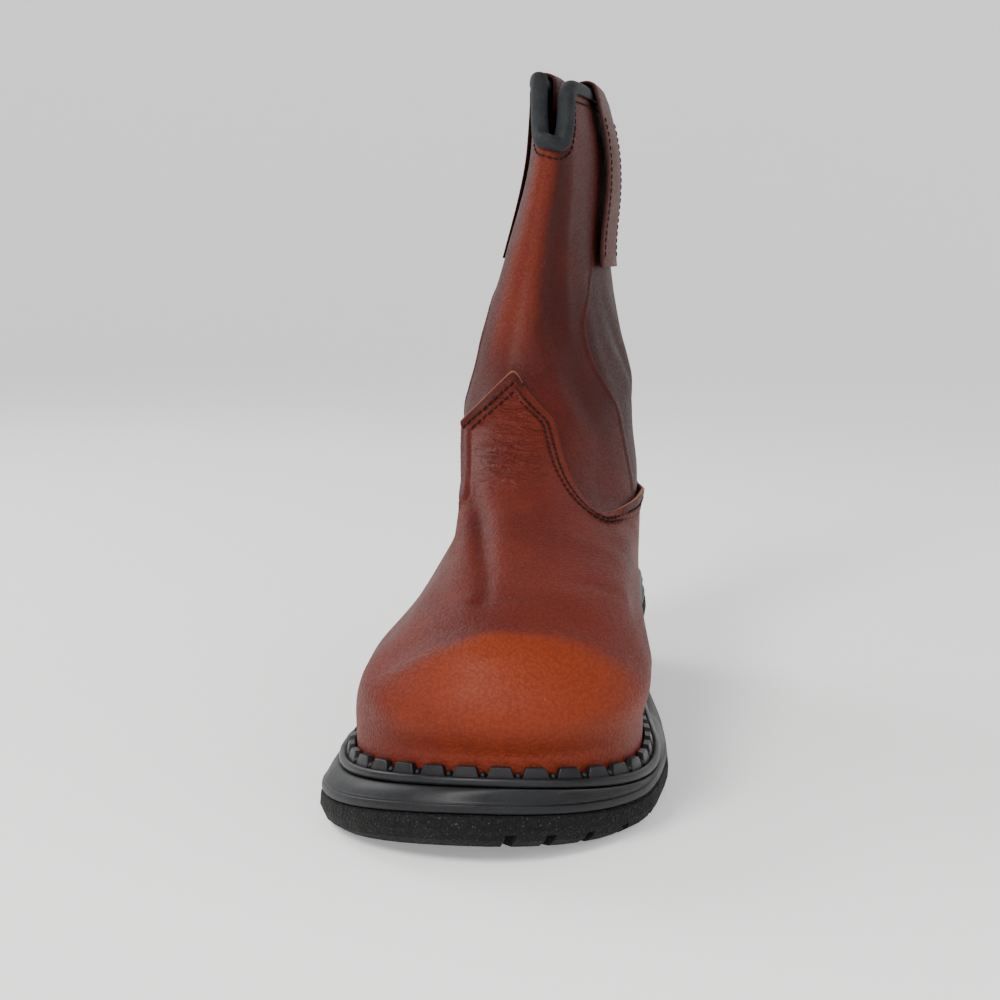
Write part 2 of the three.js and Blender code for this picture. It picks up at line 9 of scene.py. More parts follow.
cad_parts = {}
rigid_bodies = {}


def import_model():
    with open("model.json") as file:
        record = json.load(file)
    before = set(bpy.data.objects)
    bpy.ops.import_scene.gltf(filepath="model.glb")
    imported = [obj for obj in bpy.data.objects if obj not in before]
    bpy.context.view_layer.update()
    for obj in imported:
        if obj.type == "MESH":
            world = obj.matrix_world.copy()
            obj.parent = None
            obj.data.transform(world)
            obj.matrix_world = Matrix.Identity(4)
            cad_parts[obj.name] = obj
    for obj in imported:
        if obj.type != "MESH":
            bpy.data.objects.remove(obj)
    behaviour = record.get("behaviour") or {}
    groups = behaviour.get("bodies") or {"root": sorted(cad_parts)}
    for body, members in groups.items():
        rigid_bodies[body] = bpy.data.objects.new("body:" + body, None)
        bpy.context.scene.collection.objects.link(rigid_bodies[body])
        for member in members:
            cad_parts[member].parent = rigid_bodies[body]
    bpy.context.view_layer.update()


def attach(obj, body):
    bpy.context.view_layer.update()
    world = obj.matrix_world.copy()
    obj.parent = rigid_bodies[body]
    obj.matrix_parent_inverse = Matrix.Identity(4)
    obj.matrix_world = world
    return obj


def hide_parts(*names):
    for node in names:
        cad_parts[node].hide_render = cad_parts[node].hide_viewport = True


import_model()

MM = 0.001
rng = np.random.default_rng(11)

# Sizes shared with the solids (mm)
SOLE_TIP_Y, SOLE_BACK_Y = -272.0, 45.0
GAP, WALL, OVERLAY_STEP = 0.3, 2.4, 1.3
OUTSOLE_THICK, MIDSOLE_THICK, WELT_THICK, INSOLE_THICK = 10.5, 8.5, 3.4, 3.0
HEEL_HEIGHT, TOE_SPRING, TOE_SPRING_FROM_Y = 26.0, 8.0, -214.0
ARCH_FROM_Y, BREAST_Y, SOLE_FADE = -146.0, -40.0, 2.5
RIB_RISE, RIB_WIDTH, RIB_LEDGE, RIB_PITCH = 3.0, 3.2, 2.4, 10.8
BINDING_DOWN, BINDING_THICK = 3.8, 1.4
STRAP_FROM, STRAP_TO = 0.37, 0.56

SOLE_PRINT = np.array([  # along, lateral, medial
    (0.00, 53.0, 44.0), (0.10, 59.0, 48.0), (0.17, 63.5, 51.0), (0.24, 65.0, 53.0), (0.31, 63.0, 54.5),
    (0.42, 56.0, 52.5), (0.54, 49.0, 45.0), (0.67, 44.5, 41.5), (0.82, 43.5, 42.5), (1.00, 43.5, 43.0)])
SOLE_ROUND = (0.18, 2.1, 0.15, 2.1)
TIP_TURN_X, TIP_TURN_ALONG = -8.0, 0.25
CURVE_GAP = 0.35
STATIONS = (0.22, 0.5, 0.8)
ENDS = np.array([  # level, frontX, frontY, frontZ, backX, backY, backZ
    (0, 0, -260, 23, 0, 34, 46), (1, 0, -260, 33, 0, 34, 57), (2, 0, -265, 46, 0, 38, 76),
    (3, -1, -257, 63, 0, 38, 94), (4, -2, -237, 76, 0, 34, 107), (5, -4, -202, 87, 1, 31, 118),
    (6, -7, -160, 102, 1, 29, 130), (7, -9, -120, 124, 2, 30, 146), (8, -9, -98, 150, 3, 36, 165),
    (9, -4, -88, 190, 4, 48, 197), (10, 3, -86, 236, 6, 60, 238), (11, 5, -86, 284, 8, 66, 284)], float)
ROUND_SHARES = np.array([  # level, noseLateral, noseMedial, tail
    (0, .19, .19, .15), (1, .19, .19, .15), (2, .16, .17, .15), (3, .15, .19, .18), (4, .18, .26, .22),
    (5, .22, .32, .28), (6, .36, .42, .36), (7, .46, .48, .44), (8, .5, .5, .5)])
LATERAL = np.array([  # level, fore, middle, rear
    (0, 52.5, 40, 33), (1, 52.5, 40, 33), (2, 48.5, 36, 33.5), (3, 33.5, 28, 31), (4, 24, 25, 29.5),
    (5, 19, 26, 29), (6, 22, 28, 29), (7, 27, 29, 29), (8, 24.5, 24, 25), (9, 17.5, 11.5, 13),
    (10, 12, 6.5, 9), (11, 11.5, 6.5, 8.5)])
MEDIAL = np.array([
    (0, 44, 36, 33), (1, 44, 36, 33), (2, 47, 39.5, 36), (3, 41, 40.5, 36.5), (4, 37.5, 41, 36),
    (5, 33.5, 41, 35.5), (6, 33, 40, 35), (7, 36, 39, 34), (8, 31.5, 33, 31), (9, 22.5, 23.5, 24.5),
    (10, 16.5, 19, 19), (11, 5, 2, 8)])
NOSE_POWER, TAIL_POWER = 2.15, 2.1
OVERLAY_LINE = np.array([  # around, height, sag
    (-1.00, 132, -4), (-0.68, 95, 0), (-0.48, 98, -1), (-0.29, 95, 0), (-0.25, 99, 0), (-0.24, 122.5, -2.5),
    (0.00, 144.5, -1), (0.13, 127, -2), (0.21, 105.5, -3), (0.33, 95.5, -1), (0.48, 98, 0), (0.68, 96, -4),
    (1.00, 132, 0)])
COLLAR_LINE = np.array([  # |around|, lateral, medial
    (0.00, 238, 238), (0.07, 239, 237), (0.11, 241, 242), (0.16, 250, 257), (0.22, 264, 260.5),
    (0.45, 264, 260.5), (0.75, 260, 260), (0.91, 255, 255), (1.00, 254.7, 254.7)])
SEAM_LINE = np.array([  # height, |around|
    (97, 0.46), (112, 0.445), (127, 0.40), (137, 0.34), (149, 0.29), (162, 0.27), (178, 0.32), (190, 0.36),
    (206, 0.42), (226, 0.46)])
TOE_LINE = np.array([  # around, level of the toe cap's crest
    (-0.50, -1.0), (-0.38, 0.2), (-0.28, 1.25), (-0.19, 2.25), (-0.10, 3.20), (0.00, 3.62), (0.11, 3.35),
    (0.21, 2.50), (0.30, 1.40), (0.40, 0.2), (0.52, -1.0)])


def smooth(s):
    s = np.clip(s, 0.0, 1.0)
    return s * s * (3 - 2 * s)


def lerp(a, b, s):
    return a + (b - a) * s


def column(table, col, at):
    xs, ys = table[:, 0], table[:, col]
    slope = np.diff(ys) / np.diff(xs)
    tangent = np.zeros(len(xs))
    tangent[0], tangent[-1] = slope[0], slope[-1]
    product, total = slope[:-1] * slope[1:], slope[:-1] + slope[1:]
    tangent[1:-1] = np.where(product > 0, 2 * product / np.where(product > 0, total, 1), 0)
    at = np.asarray(at, float)
    i = np.clip(np.searchsorted(xs, at, side="left") - 1, 0, len(xs) - 2)
    span = xs[i + 1] - xs[i]
    s = np.clip((at - xs[i]) / span, 0, 1)
    return ((2 * s**3 - 3 * s**2 + 1) * ys[i] + (s**3 - 2 * s**2 + s) * span * tangent[i]
            + (3 * s**2 - 2 * s**3) * ys[i + 1] + (s**3 - s**2) * span * tangent[i + 1])


def station_width(a, b, c, along):
    x0, x1, x2 = STATIONS
    at = np.clip(along, x0, x2)
    s0, s1 = (b - a) / (x1 - x0), (c - b) / (x2 - x1)
    product = s0 * s1
    mid = np.where(product > 0, 2 * product / np.where(product > 0, s0 + s1, 1), 0)
    first = at <= x1
    span = np.where(first, x1 - x0, x2 - x1)
    s = np.where(first, (at - x0) / (x1 - x0), (at - x1) / (x2 - x1))
    y0, y1 = np.where(first, a, b), np.where(first, b, c)
    t0, t1 = np.where(first, s0, mid), np.where(first, mid, s1)
    return ((2 * s**3 - 3 * s**2 + 1) * y0 + (s**3 - 2 * s**2 + s) * span * t0
            + (3 * s**2 - 2 * s**3) * y1 + (s**3 - s**2) * span * t1)


def rounding(along, toe, toe_power, heel, heel_power):
    t = np.clip(1 - along / toe, 0, 1)
    h = np.clip(1 - (1 - along) / heel, 0, 1)
    return (1 - t**toe_power) ** (1 / toe_power) * (1 - h**heel_power) ** (1 / heel_power)


def wrap(around):
    return np.where(around > 1, around - 2, np.where(around < -1, around + 2, around))


def along_of(around):
    return (1 - np.cos(np.pi * np.abs(around))) / 2


def sole_line(y):
    spring = np.clip((TOE_SPRING_FROM_Y - y) / (TOE_SPRING_FROM_Y - SOLE_TIP_Y), 0, 1)
    arch = (y - ARCH_FROM_Y) / (BREAST_Y - 4 - ARCH_FROM_Y)
    return TOE_SPRING * spring**2 + (HEEL_HEIGHT + GAP) * smooth(arch)


def outsole_top(y):
    return sole_line(y) + OUTSOLE_THICK


def midsole_top(y):
    return outsole_top(y) + GAP + MIDSOLE_THICK


def upper_point(place, level):
    """Point on the outer face of the shaft leather, in mm."""
    place, level = np.broadcast_arrays(np.asarray(place, float), np.asarray(level, float))
    around = wrap(place)
    lateral = around < 0
    along = along_of(around)
    nose = np.where(lateral, column(ROUND_SHARES, 1, level), column(ROUND_SHARES, 2, level))
    tail = column(ROUND_SHARES, 3, level)
    widths = [np.where(lateral, column(LATERAL, k, level), column(MEDIAL, k, level)) for k in (1, 2, 3)]
    half = station_width(*widths, along) * rounding(along, nose, NOSE_POWER, tail, TAIL_POWER)
    at = [column(ENDS, k, level) for k in range(1, 7)]
    y = lerp(at[1], at[4], along)
    sole = midsole_top(y) + GAP - lerp(ENDS[0, 3], ENDS[0, 6], along)
    z = lerp(at[2], at[5], along) + sole * (1 - smooth(level / SOLE_FADE))
    x = lerp(at[0], at[3], along) + np.where(lateral, -1, 1) * half
    return np.stack([x, y, z], -1)


def unit(v):
    return v / np.maximum(np.linalg.norm(v, axis=-1, keepdims=True), 1e-9)


def upper_normal(around, level):
    around, level = np.broadcast_arrays(np.asarray(around, float), np.asarray(level, float))
    turn = upper_point(around + 0.004, level) - upper_point(around - 0.004, level)
    up = upper_point(around, level + 0.02) - upper_point(around, np.maximum(level - 0.02, 0))
    return unit(np.cross(turn, up))


def off_upper(around, level, off):
    return upper_point(around, level) + upper_normal(around, level) * np.asarray(off)[..., None]


def level_at(around, height):
    around, height = np.broadcast_arrays(np.asarray(around, float), np.asarray(height, float))
    low, high = np.zeros(around.shape), np.full(around.shape, len(ENDS) - 1.0)
    for _ in range(22):
        middle = (low + high) / 2
        below = upper_point(around, middle)[..., 2] < height
        low, high = np.where(below, middle, low), np.where(below, high, middle)
    return (low + high) / 2


def collar_height(place):
    around = wrap(np.asarray(place, float))
    return np.where(around < 0, column(COLLAR_LINE, 1, abs(around)), column(COLLAR_LINE, 2, abs(around)))


def collar_level(around):
    return level_at(around, collar_height(around))


def overlay_height(around):
    """The overlay's edge, with its corners eased over a few mm."""
    around = np.asarray(around, float)
    return sum(overlay_corner(around + step) for step in (-0.009, -0.006, -0.003, 0, 0.003, 0.006, 0.009)) / 7


def overlay_corner(around):
    around = np.asarray(wrap(np.asarray(around, float)), float)
    nxt = np.clip(np.searchsorted(OVERLAY_LINE[:, 0], around, side="left"), 1, len(OVERLAY_LINE) - 1)
    row, to = OVERLAY_LINE[nxt - 1], OVERLAY_LINE[nxt]
    share = (around - row[..., 0]) / (to[..., 0] - row[..., 0])
    return lerp(row[..., 1], to[..., 1], share) + row[..., 2] * np.sin(np.pi * share)


def overlay_level(around):
    return level_at(around, overlay_height(around))


def off_collar(around, off, up):
    """Point off the leather by `off`, and `up` square to the collar's edge."""
    around, off, up = np.broadcast_arrays(*(np.asarray(v, float) for v in (around, off, up)))
    step = 0.004
    level = collar_level(around)
    run = np.linalg.norm(upper_point(around + step, level) - upper_point(around - step, level), axis=-1) / (2 * step)
    climb = (collar_height(around + step) - collar_height(around - step)) / (2 * step)
    tilt = np.hypot(1, climb / run)
    place = around - (climb / run / tilt) * (up / run)
    return off_upper(place, level_at(place, collar_height(around) + up / tilt), off)


# Closed plans round the sole
def places(count):
    return -1 + 2 * np.arange(count) / count


def sole_plan(count):
    around = places(count)
    along = along_of(around)
    half = np.where(around < 0, column(SOLE_PRINT, 1, along), column(SOLE_PRINT, 2, along))
    half = half * rounding(along, *SOLE_ROUND)
    middle = TIP_TURN_X * (1 - smooth(along / TIP_TURN_ALONG))
    return np.stack([middle + np.where(around < 0, -1, 1) * half, lerp(SOLE_TIP_Y, SOLE_BACK_Y, along)], -1)


def feather_plan(count):
    return upper_point(places(count), 0)[:, :2]


def grow(plan, distance):
    run = unit(np.roll(plan, -1, 0) - np.roll(plan, 1, 0))
    return plan + np.stack([run[:, 1], -run[:, 0]], -1) * distance


def raised(plan, height):
    return np.column_stack([plan, height(plan[:, 1])])


def even(plan, count):
    """The same closed plan with its points spread evenly along it."""
    closed = np.vstack([plan, plan[:1]])
    length = np.concatenate([[0], np.cumsum(np.linalg.norm(np.diff(closed, axis=0), axis=1))])
    at = np.arange(count) / count * length[-1]
    return np.stack([np.interp(at, length, closed[:, k]) for k in (0, 1)], -1), length[-1]


# Meshes
def finish_piece(obj, replaced=(), material=None, angle=None):
    if material is not None:
        obj.data.materials.append(material)
    obj.data.polygons.foreach_set("use_smooth", [True] * len(obj.data.polygons))
    if angle is not None:
        obj.data.set_sharp_from_angle(angle=math.radians(angle))
    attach(obj, "root")
    if replaced:
        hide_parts(*replaced)
    return obj


def mesh_object(name, points, faces, layers=None):
    mesh = bpy.data.meshes.new(name)
    mesh.from_pydata((np.asarray(points) * MM).tolist(), [], faces)
    for key, values in (layers or {}).items():
        mesh.attributes.new(key, "FLOAT", "POINT").data.foreach_set("value", np.asarray(values, "f").ravel())
    mesh.update()
    obj = bpy.data.objects.new(name, mesh)
    bpy.context.scene.collection.objects.link(obj)
    return obj


def grid_faces(rows, count, ring_rows=False, open_columns=False):
    k = np.arange(rows if ring_rows else rows - 1)
    i = np.arange(count - 1 if open_columns else count)
    kk, ii = np.meshgrid(k, i, indexing="ij")
    low, high = kk * count, ((kk + 1) % rows) * count
    j = (ii + 1) % count
    return np.stack([low + ii, low + j, high + j, high + ii], -1).reshape(-1, 4).tolist()


def band(name, loops, layers=None, ring_rows=False, open_columns=False):
    loops = np.asarray(loops)
    return mesh_object(name, loops.reshape(-1, 3), grid_faces(*loops.shape[:2], ring_rows, open_columns), layers)


def scatter(name, centres, axes, shape, faces):
    """One joined mesh of small copies: shape is (n, 3), axes are (m, 3, 3) with sizes in them."""
    points = np.einsum("nk,mkj->mnj", shape, axes) + centres[:, None, :]
    count = len(shape)
    faces = np.asarray(faces)
    every = (faces[None] + (np.arange(len(centres)) * count)[:, None, None]).reshape(-1, faces.shape[1])
    return mesh_object(name, points.reshape(-1, 3), every.tolist())


def pill(rings=6, sides=7):
    """A rounded stitch along the first axis, from -1 to 1."""
    out = []
    for t in np.linspace(-1, 1, rings):
        radius = math.sqrt(max(0.02, 1 - abs(t) ** 3))
        for a in np.arange(sides) * 2 * math.pi / sides:
            out.append((t, radius * math.cos(a), radius * math.sin(a)))
    faces = []
    for r in range(rings - 1):
        for s in range(sides):
            t = (s + 1) % sides
            faces.append((r * sides + s, r * sides + t, (r + 1) * sides + t, (r + 1) * sides + s))
    return np.array(out), faces


# Materials
class Nodes:
    """Short hand for a node tree."""

    def __init__(self, name):
        self.material = bpy.data.materials.new(name)
        self.material.use_nodes = True
        self.tree = self.material.node_tree
        self.bsdf = self.tree.nodes["Principled BSDF"]

    def add(self, kind, inputs=None, **props):
        node = self.tree.nodes.new(kind)
        for key, value in props.items():
            setattr(node, key, value)
        for key, value in (inputs or {}).items():
            self.put(node.inputs[key], value)
        return node

    def put(self, socket, value):
        if isinstance(value, bpy.types.NodeSocket):
            self.tree.links.new(value, socket)
        elif isinstance(value, bpy.types.Node):
            self.tree.links.new(value.outputs[0], socket)
        else:
            socket.default_value = value

    def set(self, **values):
        for key, value in values.items():
            self.put(self.bsdf.inputs[key.replace("_", " ")], value)

    def place(self):
        return self.add("ShaderNodeTexCoord").outputs["Object"]

    def attribute(self, name):
        return self.add("ShaderNodeAttribute", attribute_name=name).outputs["Fac"]

    def scaled(self, vector, scale):
        return self.add("ShaderNodeVectorMath", {0: vector, 1: scale}, operation="MULTIPLY").outputs[0]

    def noise(self, vector, scale, detail=3.0, rough=0.55, distortion=0.0):
        return self.add("ShaderNodeTexNoise", {"Vector": vector, "Scale": scale, "Detail": detail,
                                               "Roughness": rough, "Distortion": distortion}).outputs["Fac"]

    def cells(self, vector, scale, feature="F1"):
        return self.add("ShaderNodeTexVoronoi", {"Vector": vector, "Scale": scale}, feature=feature).outputs["Distance"]

    def math(self, operation, a, b=0.0, clamp=False):
        return self.add("ShaderNodeMath", {0: a, 1: b}, operation=operation, use_clamp=clamp).outputs[0]

    def ramp(self, value, low, high, out_low=0.0, out_high=1.0):
        return self.add("ShaderNodeMapRange", {"Value": value, "From Min": low, "From Max": high, "To Min": out_low,
                                               "To Max": out_high}, interpolation_type="SMOOTHSTEP").outputs[0]

    def mix(self, share, a, b, blend="MIX"):
        node = self.add("ShaderNodeMix", data_type="RGBA", blend_type=blend)
        for socket, value in ((node.inputs[0], share), (node.inputs[6], a), (node.inputs[7], b)):
            if isinstance(value, tuple) and len(value) == 3:
                value = (*value, 1.0)
            self.put(socket, value)
        return node.outputs[2]

    def bump(self, height, distance, strength=1.0, normal=None):
        inputs = {"Height": height, "Distance": distance, "Strength": strength}
        if normal is not None:
            inputs["Normal"] = normal
        return self.add("ShaderNodeBump", inputs).outputs[0]


def leather(name, base, deep, light, orange=None, worn=0.5):
    """Pebbled full-grain leather: cells for the grain, long noise for the tone, and creases."""
    n = Nodes(name)
    p = n.place()
    warp = n.add("ShaderNodeTexNoise", {"Vector": p, "Scale": 260.0, "Detail": 2.0}).outputs["Color"]
    soft = n.add("ShaderNodeVectorMath", {0: warp, 1: (0.0011, 0.0011, 0.0011)}, operation="MULTIPLY").outputs[0]
    q = n.add("ShaderNodeVectorMath", {0: p, 1: soft}, operation="ADD").outputs[0]
    grain = n.cells(q, 880.0)
    fine = n.cells(q, 2100.0)
    blotch = n.noise(p, 38.0, 4.0, 0.6)
    cloud = n.noise(p, 11.0, 2.0, 0.5)
    tone = n.mix(n.ramp(cloud, 0.35, 0.68), deep, base)
    tone = n.mix(n.math("MULTIPLY", n.ramp(blotch, 0.48, 0.75), 0.45), tone, light)
    # The toe attribute mixes in orange: the real burnished toe, with a painted highlight where the leather faces the
    # lamps.
    if orange is not None:
        toe = n.attribute("toe")
        edge = n.math("ADD", toe, n.math("MULTIPLY", n.math("SUBTRACT", blotch, 0.5), 0.5))
        tone = n.mix(n.ramp(edge, 0.1, 0.95), tone, orange)
    # Painted sheen: this attribute mixes in a greyish pink that stands in for a grazing reflection of the lamps.
    bloom = n.attribute("bloom")
    tone = n.mix(n.math("MULTIPLY", bloom, 0.6), tone, (0.095, 0.030, 0.025))
    # The dark attribute mixes towards a deep brown: painted shade, set per piece.
    dark = n.attribute("dark")
    tone = n.mix(n.math("MULTIPLY", dark, 0.75), tone, tuple(0.22 * v for v in deep))
    # Painted shade in the valleys between the pebbles of the grain.
    pits = n.ramp(grain, 0.25, 0.75)
    tone = n.mix(n.math("MULTIPLY", pits, 0.22), tone, tuple(0.35 * v for v in deep))
    specks = n.ramp(n.noise(p, 900.0, 1.0, 0.4), 0.74, 0.8)
    tone = n.mix(n.math("MULTIPLY", specks, 0.25 * worn), tone, (0.40, 0.20, 0.14))
    rough = n.math("ADD", n.ramp(blotch, 0.3, 0.7, 0.44, 0.55), n.math("MULTIPLY", pits, 0.10))
    stretched = n.scaled(p, (0.42, 0.42, 1.75))
    flex = n.noise(n.add("ShaderNodeVectorMath", {0: stretched, 1: soft}, operation="ADD").outputs[0], 230.0, 3.0, 0.55, 0.5)
    # Painted shade in the troughs of the flex folds.
    folds = n.math("MULTIPLY", n.ramp(flex, 0.56, 0.40), n.attribute("flex"))
    tone = n.mix(n.math("MULTIPLY", folds, 0.14), tone, tuple(0.3 * v for v in deep))
    tone = n.mix(n.attribute("rim"), tone, (0.20, 0.075, 0.042))
    flex = n.math("MULTIPLY", flex, n.attribute("flex"))
    normal = n.bump(flex, 0.0045, 1.0)
    normal = n.bump(n.noise(p, 150.0, 3.0, 0.6), 0.0007, 0.35, normal)
    normal = n.bump(n.math("MULTIPLY", grain, -1.0), 0.00035, 0.55, normal)
    normal = n.bump(n.math("MULTIPLY", fine, -1.0), 0.00015, 0.35, normal)
    n.set(Base_Color=tone, Roughness=rough, Normal=normal, Specular_IOR_Level=0.12, Coat_Weight=0.03,
          Coat_Roughness=0.34)
    return n.material


def rubber(name, base, pale, rough, speck=0.0, pebble=0.0):
    n = Nodes(name)
    p = n.place()
    cloud = n.noise(p, 45.0, 4.0, 0.6)
    tone = n.mix(n.ramp(cloud, 0.35, 0.7), base, pale)
    if speck:
        spots = n.ramp(n.noise(p, 1500.0, 1.0, 0.4), 0.66, 0.72)
        tone = n.mix(n.math("MULTIPLY", spots, speck), tone, (0.11, 0.11, 0.105))
        dust = n.ramp(n.noise(p, 620.0, 2.0, 0.5), 0.66, 0.74)
        tone = n.mix(n.math("MULTIPLY", dust, speck * 0.5), tone, (0.07, 0.07, 0.068))
    normal = n.bump(n.noise(p, 260.0, 4.0, 0.6), 0.0004, 0.3)
    if pebble:
        normal = n.bump(n.math("MULTIPLY", n.cells(p, 950.0), -1.0), 0.0009, pebble, normal)
        normal = n.bump(n.noise(p, 1700.0, 2.0, 0.6), 0.0006, pebble * 0.7, normal)
    n.set(Base_Color=tone, Roughness=n.ramp(cloud, 0.3, 0.7, rough - 0.06, rough + 0.08), Normal=normal,
          Specular_IOR_Level=0.24)
    return n.material


def tape(name, base, pale):
    """Grey woven tape with soft cross wrinkles."""
    n = Nodes(name)
    p = n.place()
    cloud = n.noise(p, 180.0, 4.0, 0.6)
    tone = n.mix(n.ramp(cloud, 0.35, 0.7), base, pale)
    threads = n.noise(n.scaled(p, (1.0, 1.0, 1.0)), 1900.0, 2.0, 0.5)
    tone = n.mix(n.math("MULTIPLY", n.ramp(threads, 0.45, 0.7), 0.3), tone, tuple(1.8 * v for v in pale))
    normal = n.bump(n.noise(p, 240.0, 3.0, 0.6), 0.0012, 0.5)
    normal = n.bump(threads, 0.0003, 0.5, normal)
    n.set(Base_Color=tone, Roughness=0.66, Normal=normal, Specular_IOR_Level=0.2)
    return n.material


def thread(name, base):
    n = Nodes(name)
    p = n.place()
    twist = n.noise(p, 2600.0, 1.0, 0.5)
    n.set(Base_Color=n.mix(twist, base, tuple(1.9 * v for v in base)), Roughness=0.7, Specular_IOR_Level=0.08,
          Normal=n.bump(twist, 0.0002, 0.5))
    return n.material


VAMP_LEATHER = leather("vamp leather", (0.100, 0.0125, 0.0068), (0.064, 0.0078, 0.0048), (0.135, 0.020, 0.010),
                       orange=(0.165, 0.0225, 0.0058))
SHAFT_LEATHER = leather("shaft leather", (0.058, 0.0068, 0.0043), (0.034, 0.0041, 0.0030), (0.080, 0.0115, 0.0075),
                        orange=(0.098, 0.0120, 0.0048))
LINING = tape("lining fabric", (0.016, 0.018, 0.021), (0.030, 0.033, 0.037))
TAPE = tape("collar tape", (0.006, 0.0072, 0.0088), (0.0115, 0.0135, 0.0165))
BLACK_SOLE = rubber("pebbled outsole rubber", (0.0014, 0.0014, 0.0016), (0.003, 0.003, 0.0034), 0.85, speck=0.32, pebble=0.8)
GREY_SOLE = rubber("midsole rubber", (0.0055, 0.006, 0.0074), (0.009, 0.0098, 0.012), 0.48, speck=0.10)
RIB_RUBBER = rubber("rib rubber", (0.005, 0.0054, 0.0066), (0.0085, 0.0092, 0.0112), 0.40, speck=0.10)
THREAD = thread("dark thread", (0.012, 0.005, 0.0045))
BOARD = tape("footbed fabric", (0.12, 0.095, 0.07), (0.18, 0.15, 0.11))


# Creases: soft troughs (-) and ridges (+)
# around and level of both ends, depth and half-width in mm, along with the fade at its ends
VAMP_CREASES = [
    # the pinch between the instep ridge and the outer side
    (-0.155, 5.95, -0.105, 5.55, -1.4, 3.4), (-0.115, 5.65, -0.075, 5.15, -2.0, 3.6),
    (-0.080, 5.20, -0.040, 4.65, -1.7, 3.6), (-0.043, 4.70, -0.030, 4.10, -1.0, 3.2),
    (-0.215, 5.75, -0.175, 5.00, 1.4, 6.5), (-0.190, 5.10, -0.150, 4.35, 0.9, 7.0),
    (-0.075, 4.12, -0.035, 4.16, -0.9, 1.5), (-0.085, 4.22, -0.050, 4.26, 0.5, 1.6),
    (0.000, 5.70, 0.010, 4.80, 0.9, 6.0), (-0.030, 6.00, 0.020, 5.50, 0.8, 5.0),
    # flex wrinkles across the front of the ankle
    (-0.165, 6.98, -0.080, 7.06, -0.45, 1.0), (-0.120, 7.22, 0.015, 7.10, -0.50, 0.9),
    (-0.150, 6.82, -0.030, 6.93, -0.55, 1.0), (-0.060, 6.98, 0.070, 6.92, -0.50, 1.0),
    (-0.130, 6.66, 0.000, 6.76, -0.60, 1.1), (-0.020, 6.80, 0.090, 6.70, -0.50, 1.0),
    (-0.140, 6.48, -0.010, 6.58, -0.60, 1.1), (0.000, 6.60, 0.110, 6.52, -0.55, 1.0),
    (-0.130, 6.30, 0.020, 6.40, -0.60, 1.2), (0.030, 6.36, 0.120, 6.28, -0.40, 1.0),
    (-0.090, 7.40, 0.010, 7.32, -0.35, 0.9), (-0.145, 6.15, -0.020, 6.20, -0.45, 1.3),
    (-0.100, 6.90, 0.060, 6.84, 0.35, 1.3), (-0.110, 6.57, 0.080, 6.66, 0.35, 1.4),
    # long drags on the inner side and above the toe
    (0.250, 5.20, 0.420, 4.10, -0.8, 5.0), (0.170, 5.10, 0.330, 3.70, 0.6, 6.0),
    (0.300, 4.50, 0.480, 3.40, 0.6, 6.0), (0.150, 4.30, 0.260, 3.55, -0.6, 4.0),
    (-0.220, 3.55, -0.120, 3.95, -0.7, 4.0), (-0.330, 3.70, -0.450, 4.80, -1.0, 6.0),
    (-0.120, 3.98, 0.120, 4.02, -0.9, 5.0), (-0.100, 3.62, 0.110, 3.66, 0.6, 4.5),
]
SHAFT_CREASES = [
    (0.165, 10.0, 0.205, 8.30, 0.9, 4.5), (0.105, 9.90, 0.150, 8.20, -1.5, 5.0),
    (0.020, 9.80, 0.030, 8.10, 1.0, 5.0), (0.300, 8.60, 0.380, 6.90, 1.0, 6.0),
    (0.210, 7.90, 0.300, 6.70, -1.3, 7.0), (0.420, 8.50, 0.560, 6.70, -1.2, 7.0),
    (0.100, 8.10, 0.190, 7.10, 0.9, 4.5), (-0.350, 9.70, -0.430, 7.60, -1.6, 8.0),
    (-0.520, 9.90, -0.600, 7.40, 1.2, 8.0), (0.820, 9.40, 0.900, 7.60, -1.2, 8.0),
    (-0.850, 9.40, -0.800, 7.60, -1.0, 8.0), (0.600, 7.20, 0.850, 6.90, -1.0, 5.0),
    (-0.600, 7.20, -0.850, 6.90, -1.0, 5.0), (0.560, 6.60, 0.620, 7.60, 0.8, 6.0),
]


def creases(table, around, level, points):
    """Sum of the table's troughs at each point, measured in mm over the leather."""
    total = np.zeros(around.shape)
    shade = np.zeros(around.shape)
    for a0, l0, a1, l1, depth, half in table:
        start, end = upper_point(a0, l0), upper_point(a1, l1)
        run = end - start
        length = np.linalg.norm(run)
        run = run / length
        rel = points - start
        s = rel @ run
        over = np.clip(s, 0, length)
        away = np.linalg.norm(rel - over[..., None] * run, axis=-1)
        taper = 0.35 + 0.65 * np.sin(np.pi * np.clip(over / length, 0.02, 0.98)) ** 0.7
        amount = depth * taper * np.exp(-(away / half) ** 2)
        total += amount
        shade += np.clip(-amount, 0, None) / 2.5
    return total, shade


def bulge(points, centre, radii, height):
    """A soft hump or hollow of the leather round a point."""
    away = np.linalg.norm((points - np.asarray(centre)) / np.asarray(radii), axis=-1)
    return height * np.exp(-away**2)


# Upper: the vamp and counter lie over the shaft
def flare(around):
    """How far the vamp's free edge curls outward, in mm."""
    peak = 3.8 * smooth((around + 0.245) / 0.04) * (1 - smooth((around + 0.005) / 0.045))
    heel_side = 1.9 * smooth((around - 0.34) / 0.05) * (1 - smooth((around - 0.52) / 0.08))
    return peak + heel_side


def jacobian(around, level):
    round_ = (upper_point(around + 0.003, level) - upper_point(around - 0.003, level)) / 0.006
    up = (upper_point(around, level + 0.03) - upper_point(around, level - 0.03)) / 0.06
    return round_, up


